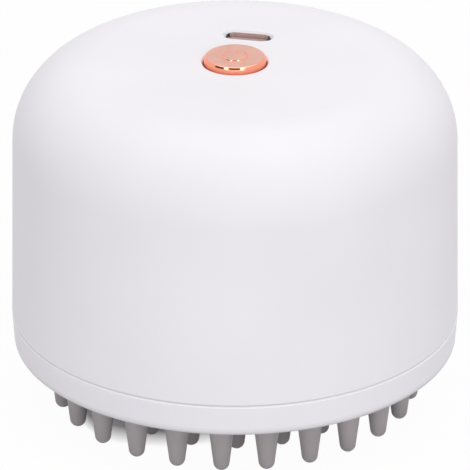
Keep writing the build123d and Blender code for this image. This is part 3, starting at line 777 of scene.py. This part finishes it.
def silicone_pin():
    """One tapered pin on the axis, coved into the pad's face and round at its tip."""
    pad_level = ring_foot_level + pad_recess
    slope = tan(radians(pin_draft))
    wide = 1 / cos(radians(pin_draft))
    cove_level = pad_level - pin_cove
    cove_radius = (pin_tip_radius + pin_cove) * wide + (cove_level - pin_tip_radius) * slope
    root = arc(pin_cove, (cove_radius, cove_level), 90, 180 - pin_draft, pin_cove_steps)
    tip = arc(pin_tip_radius, (0, pin_tip_radius), -pin_draft, -pin_dome_end, pin_dome_steps)
    outline = [(root[0][0], pad_level + pad_web / 4)] + root + tip + [(pin_tip_flat, 0)]
    return turned("silicone_pin", outline, pin_sides)


def silicone_pad():
    """The whole soft pad: its disc, rim and lip, and every pin grown into its face."""
    pad_level = ring_foot_level + pad_recess
    face_radius = pad_radius - pad_rim_round
    rim = arc(pad_rim_round, (face_radius, pad_level + pad_rim_round), -90, 0, pad_round_steps)
    lip_radius = pad_radius - pad_rim_wall - pad_lip_width
    hollow_radius = pad_radius - pad_rim_wall
    outline = [(pad_radius / 2, pad_level)] + rim
    lip_level = pad_high.z - pad_lip
    outline += [(pad_radius, pad_high.z), (lip_radius, pad_high.z), (lip_radius, lip_level)]
    outline += [(hollow_radius, lip_level), (hollow_radius, pad_level + pad_web)]
    outline.append((pad_radius / 2, pad_level + pad_web))
    disc = turned("silicone_pad", outline, pad_sides)
    pin = silicone_pin()
    pins = []
    for share, count, start in zip(pin_ring_shares, pin_ring_counts, pin_ring_starts):
        radius = (pad_radius - pin_edge_room) * share
        for i in range(count):
            turn = radians(start + 360 / count * i)
            spot = (radius * cos(turn), radius * sin(turn))
            pins.append(copy_to(pin, "pin_copy", spot))
    bpy.data.objects.remove(pin)
    pad = unite(disc, join("pin_field", pins))
    smooth(pad)
    wear(pad, pin_silicone)
    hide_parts("brush_pad")
    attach(pad, "root")


def stroke(name, start, end):
    """Raised line with sloping flanks on the cap's face, from one spot to another along Y."""
    lone()
    bpy.ops.mesh.primitive_cone_add(
        vertices=sign_sides, radius1=sign_foot / 2, radius2=sign_top / 2,
        depth=sign_rise + sign_root, location=(*start, (sign_rise - sign_root) / 2),
    )
    piece = named(name)
    settle(piece)
    if end != start:
        pick(piece, lambda place: place.y > start[1])
        bpy.ops.transform.translate(value=(0, end[1] - start[1], 0))
        bpy.ops.object.mode_set(mode="OBJECT")
    return piece


def power_sign():
    """Raised broken ring and bar with sloping flanks, rooted in the cap's face."""
    lone()
    bpy.ops.mesh.primitive_plane_add(
        size=1, location=(sign_ring_radius, 0, (sign_rise - sign_root) / 2),
        rotation=(pi / 2, 0, 0),
    )
    ring = named("power_ring")
    ring.scale = (sign_foot, sign_rise + sign_root, 1)
    settle(ring)
    pick(ring, lambda place: place.z > 0)
    bpy.ops.transform.resize(
        value=(sign_top / sign_foot, 1, 1), center_override=(sign_ring_radius, 0, 0)
    )
    bpy.ops.mesh.select_all(action="SELECT")
    sweep = radians(360 - sign_gap_angle)
    bpy.ops.mesh.spin(steps=sign_ring_steps, angle=sweep, center=(0, 0, 0), axis=(0, 0, 1))
    bpy.ops.object.mode_set(mode="OBJECT")
    close_up(ring)
    ring.rotation_euler = (0, 0, radians(90 - sign_gap_angle / 2))
    pieces = [ring]
    for side in (-1, 1):
        turn = radians(90 + side * sign_gap_angle / 2)
        spot = (sign_ring_radius * cos(turn), sign_ring_radius * sin(turn))
        pieces.append(stroke("ring_end", spot, spot))
    bar_end = sign_ring_radius + sign_line / 2
    bar_start = bar_end - sign_bar_length + sign_line
    pieces.append(stroke("power_bar", (0, bar_start), (0, bar_end)))
    sign = join("power_sign", pieces)
    sign.location = (0, 0, button_high.z - sign_rise)
    settle(sign)
    return sign


def button_cap():
    """Plated cap with a rolled edge, its flange and stem under the crown, and the raised sign."""
    low = button_low.z
    top = button_high.z - sign_rise
    ceiling = top - button_wall
    hollow_radius = button_radius - button_wall
    flange_top = low + button_flange_wall
    bevel_low = top - button_bevel_height
    outline = [(button_stem_radius, low), (button_stem_radius, ceiling)]
    outline += [(hollow_radius, ceiling), (hollow_radius, low), (button_flange_radius, low)]
    outline += [(button_flange_radius, flange_top), (button_radius, flange_top)]
    soft = button_bevel_soft
    corner = soft * tan(radians(button_bevel_angle / 2))
    side_centre = (button_radius - soft, bevel_low - corner)
    face_centre = (button_face_radius - corner, top - soft)
    outline += arc(soft, side_centre, 0, button_bevel_angle, button_bevel_steps)
    outline += arc(soft, face_centre, button_bevel_angle, 90, button_bevel_steps)
    outline.append((button_face_radius / 2, top))
    cap = turned("button_cap", outline, button_sides)
    cap = unite(cap, power_sign(), crossed=True)
    smooth(cap)
    wear(cap, rose_gold)
    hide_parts("power_button")
    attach(cap, "button")


def port_contacts():
    """Contact strips on both faces of the receptacle's tongue."""
    level = tongue_high.z - contact_sink - contact_length / 2
    edge = contact_wall / 4
    strips = []
    for side in (-1, 1):
        for i in range(contact_count):
            lone()
            x = (i - (contact_count - 1) / 2) * contact_pitch
            y = port_centre.y + side * (tongue_half_wall + edge)
            bpy.ops.mesh.primitive_cube_add(size=1, location=(x, y, level))
            strip = named("contact_copy")
            strip.scale = (contact_width, contact_wall, contact_length)
            settle(strip)
            bpy.ops.object.mode_set(mode="EDIT")
            bpy.ops.mesh.select_all(action="SELECT")
            bpy.ops.mesh.bevel(offset=edge, segments=2)
            bpy.ops.object.mode_set(mode="OBJECT")
            strips.append(strip)
    contacts = join("port_contacts", strips)
    wear(contacts, copper)
    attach(contacts, "root")


def shown(tree):
    """One for the rays that show the surround: the camera's, mirrored and transmitted ones."""
    path = add_node(tree, "ShaderNodeLightPath").outputs
    seen = maths(tree, "MAXIMUM", path["Is Camera Ray"], path["Is Transmission Ray"])
    return maths(tree, "MAXIMUM", seen, path["Is Glossy Ray"])


def lay_floor():
    """Pale floor that shows as white, apart from the rounds where the body's shade lies."""
    lone()
    bpy.ops.mesh.primitive_plane_add(size=floor_size, location=(0, 0, -floor_drop))
    floor = named("floor")
    material, tree, shader = blank_material("floor_paper")
    shader.inputs["Base Color"].default_value = floor_tone
    shader.inputs["Roughness"].default_value = floor_rough
    shader.inputs["Specular IOR Level"].default_value = floor_specular
    place = object_place(tree)
    clear = []
    for centre, radius, soft in shade_rounds:
        away = add_node(
            tree, "ShaderNodeVectorMath", {0: place, 1: (*centre, 0)}, operation="DISTANCE"
        )
        clear.append(spread(tree, away.outputs["Value"], radius, radius + soft))
    share = between(tree, maths(tree, "MAXIMUM", *clear), *floor_glow)
    lift = maths(tree, "MULTIPLY", shown(tree), share)
    glow = add_node(tree, "ShaderNodeEmission", {"Strength": 1.0})
    both = add_node(
        tree, "ShaderNodeMixShader", {0: lift, 1: shader.outputs[0], 2: glow.outputs[0]}
    )
    output = find_node(tree, "OUTPUT_MATERIAL")
    tree.links.new(both.outputs[0], output.inputs["Surface"])
    wear(floor, material)


def light_surround():
    """World that shows as white, but lights the object with a weaker and slightly bluer light."""
    world = bpy.data.worlds.new("surround")
    bpy.context.scene.world = world
    world.use_nodes = True
    tree = world.node_tree
    tree.nodes.clear()
    seen = shown(tree)
    tint = blend(tree, seen, surround_tint, (1, 1, 1, 1))
    strength = between(tree, seen, surround_light, 1.0)
    sky = add_node(tree, "ShaderNodeBackground", {"Color": tint, "Strength": strength})
    output = tree.nodes.new("ShaderNodeOutputWorld")
    tree.links.new(sky.outputs[0], output.inputs["Surface"])


def hang_lamp(name, place, turn, width, height, power):
    """Rectangular soft lamp."""
    bpy.ops.object.light_add(type="AREA", location=place, rotation=turn)
    lamp = bpy.context.object
    lamp.name = name
    lamp.data.shape = "RECTANGLE"
    lamp.data.size = width
    lamp.data.size_y = height
    lamp.data.energy = power


def hang_flag(name, place, turn, length):
    """Grey card that darkens a part of the button's reflection, unseen by the camera itself."""
    lone()
    bpy.ops.mesh.primitive_plane_add(size=1, location=place, rotation=turn)
    flag = named(name)
    flag.scale = (length, card_width, 1)
    settle(flag)
    flag.visible_camera = False
    wear(flag, flag_cloth)


def studio():
    """The floor, the surround, the lamps, the cards over the button and the camera."""
    lay_floor()
    light_surround()
    aim = Vector((0, 0, target_level))
    for name, place, width, height, power in softboxes:
        turn = (aim - Vector(place)).to_track_quat("-Z", "Y").to_euler()
        hang_lamp(name, place, turn, width, height, power)
    side = radians(camera_azimuth)
    for name, spot, turn, length, power in glint_cards:
        x = spot[0] * cos(side) - spot[1] * sin(side)
        y = spot[0] * sin(side) + spot[1] * cos(side)
        way = (0, 0, side + radians(turn))
        if power:
            hang_lamp(name, (x, y, card_level), way, length, card_width, power)
        else:
            hang_flag(name, (x, y, card_level), way, length)
    tilt = radians(camera_elevation)
    reach = camera_distance * cos(tilt)
    rise = camera_distance * sin(tilt)
    place = aim + Vector((reach * sin(side), -reach * cos(side), rise))
    bpy.ops.object.camera_add(location=place)
    camera = bpy.context.object
    camera.name = "camera"
    camera.rotation_euler = (aim - place).to_track_quat("-Z", "Y").to_euler()
    camera.data.lens = camera_lens
    camera.data.sensor_width = camera_sensor
    camera.data.sensor_fit = "HORIZONTAL"
    camera.data.clip_end = camera_clip
    bpy.context.scene.camera = camera
    bpy.context.scene.view_settings.view_transform = "Standard"


silicone_pad()
button_cap()
port_contacts()
studio()
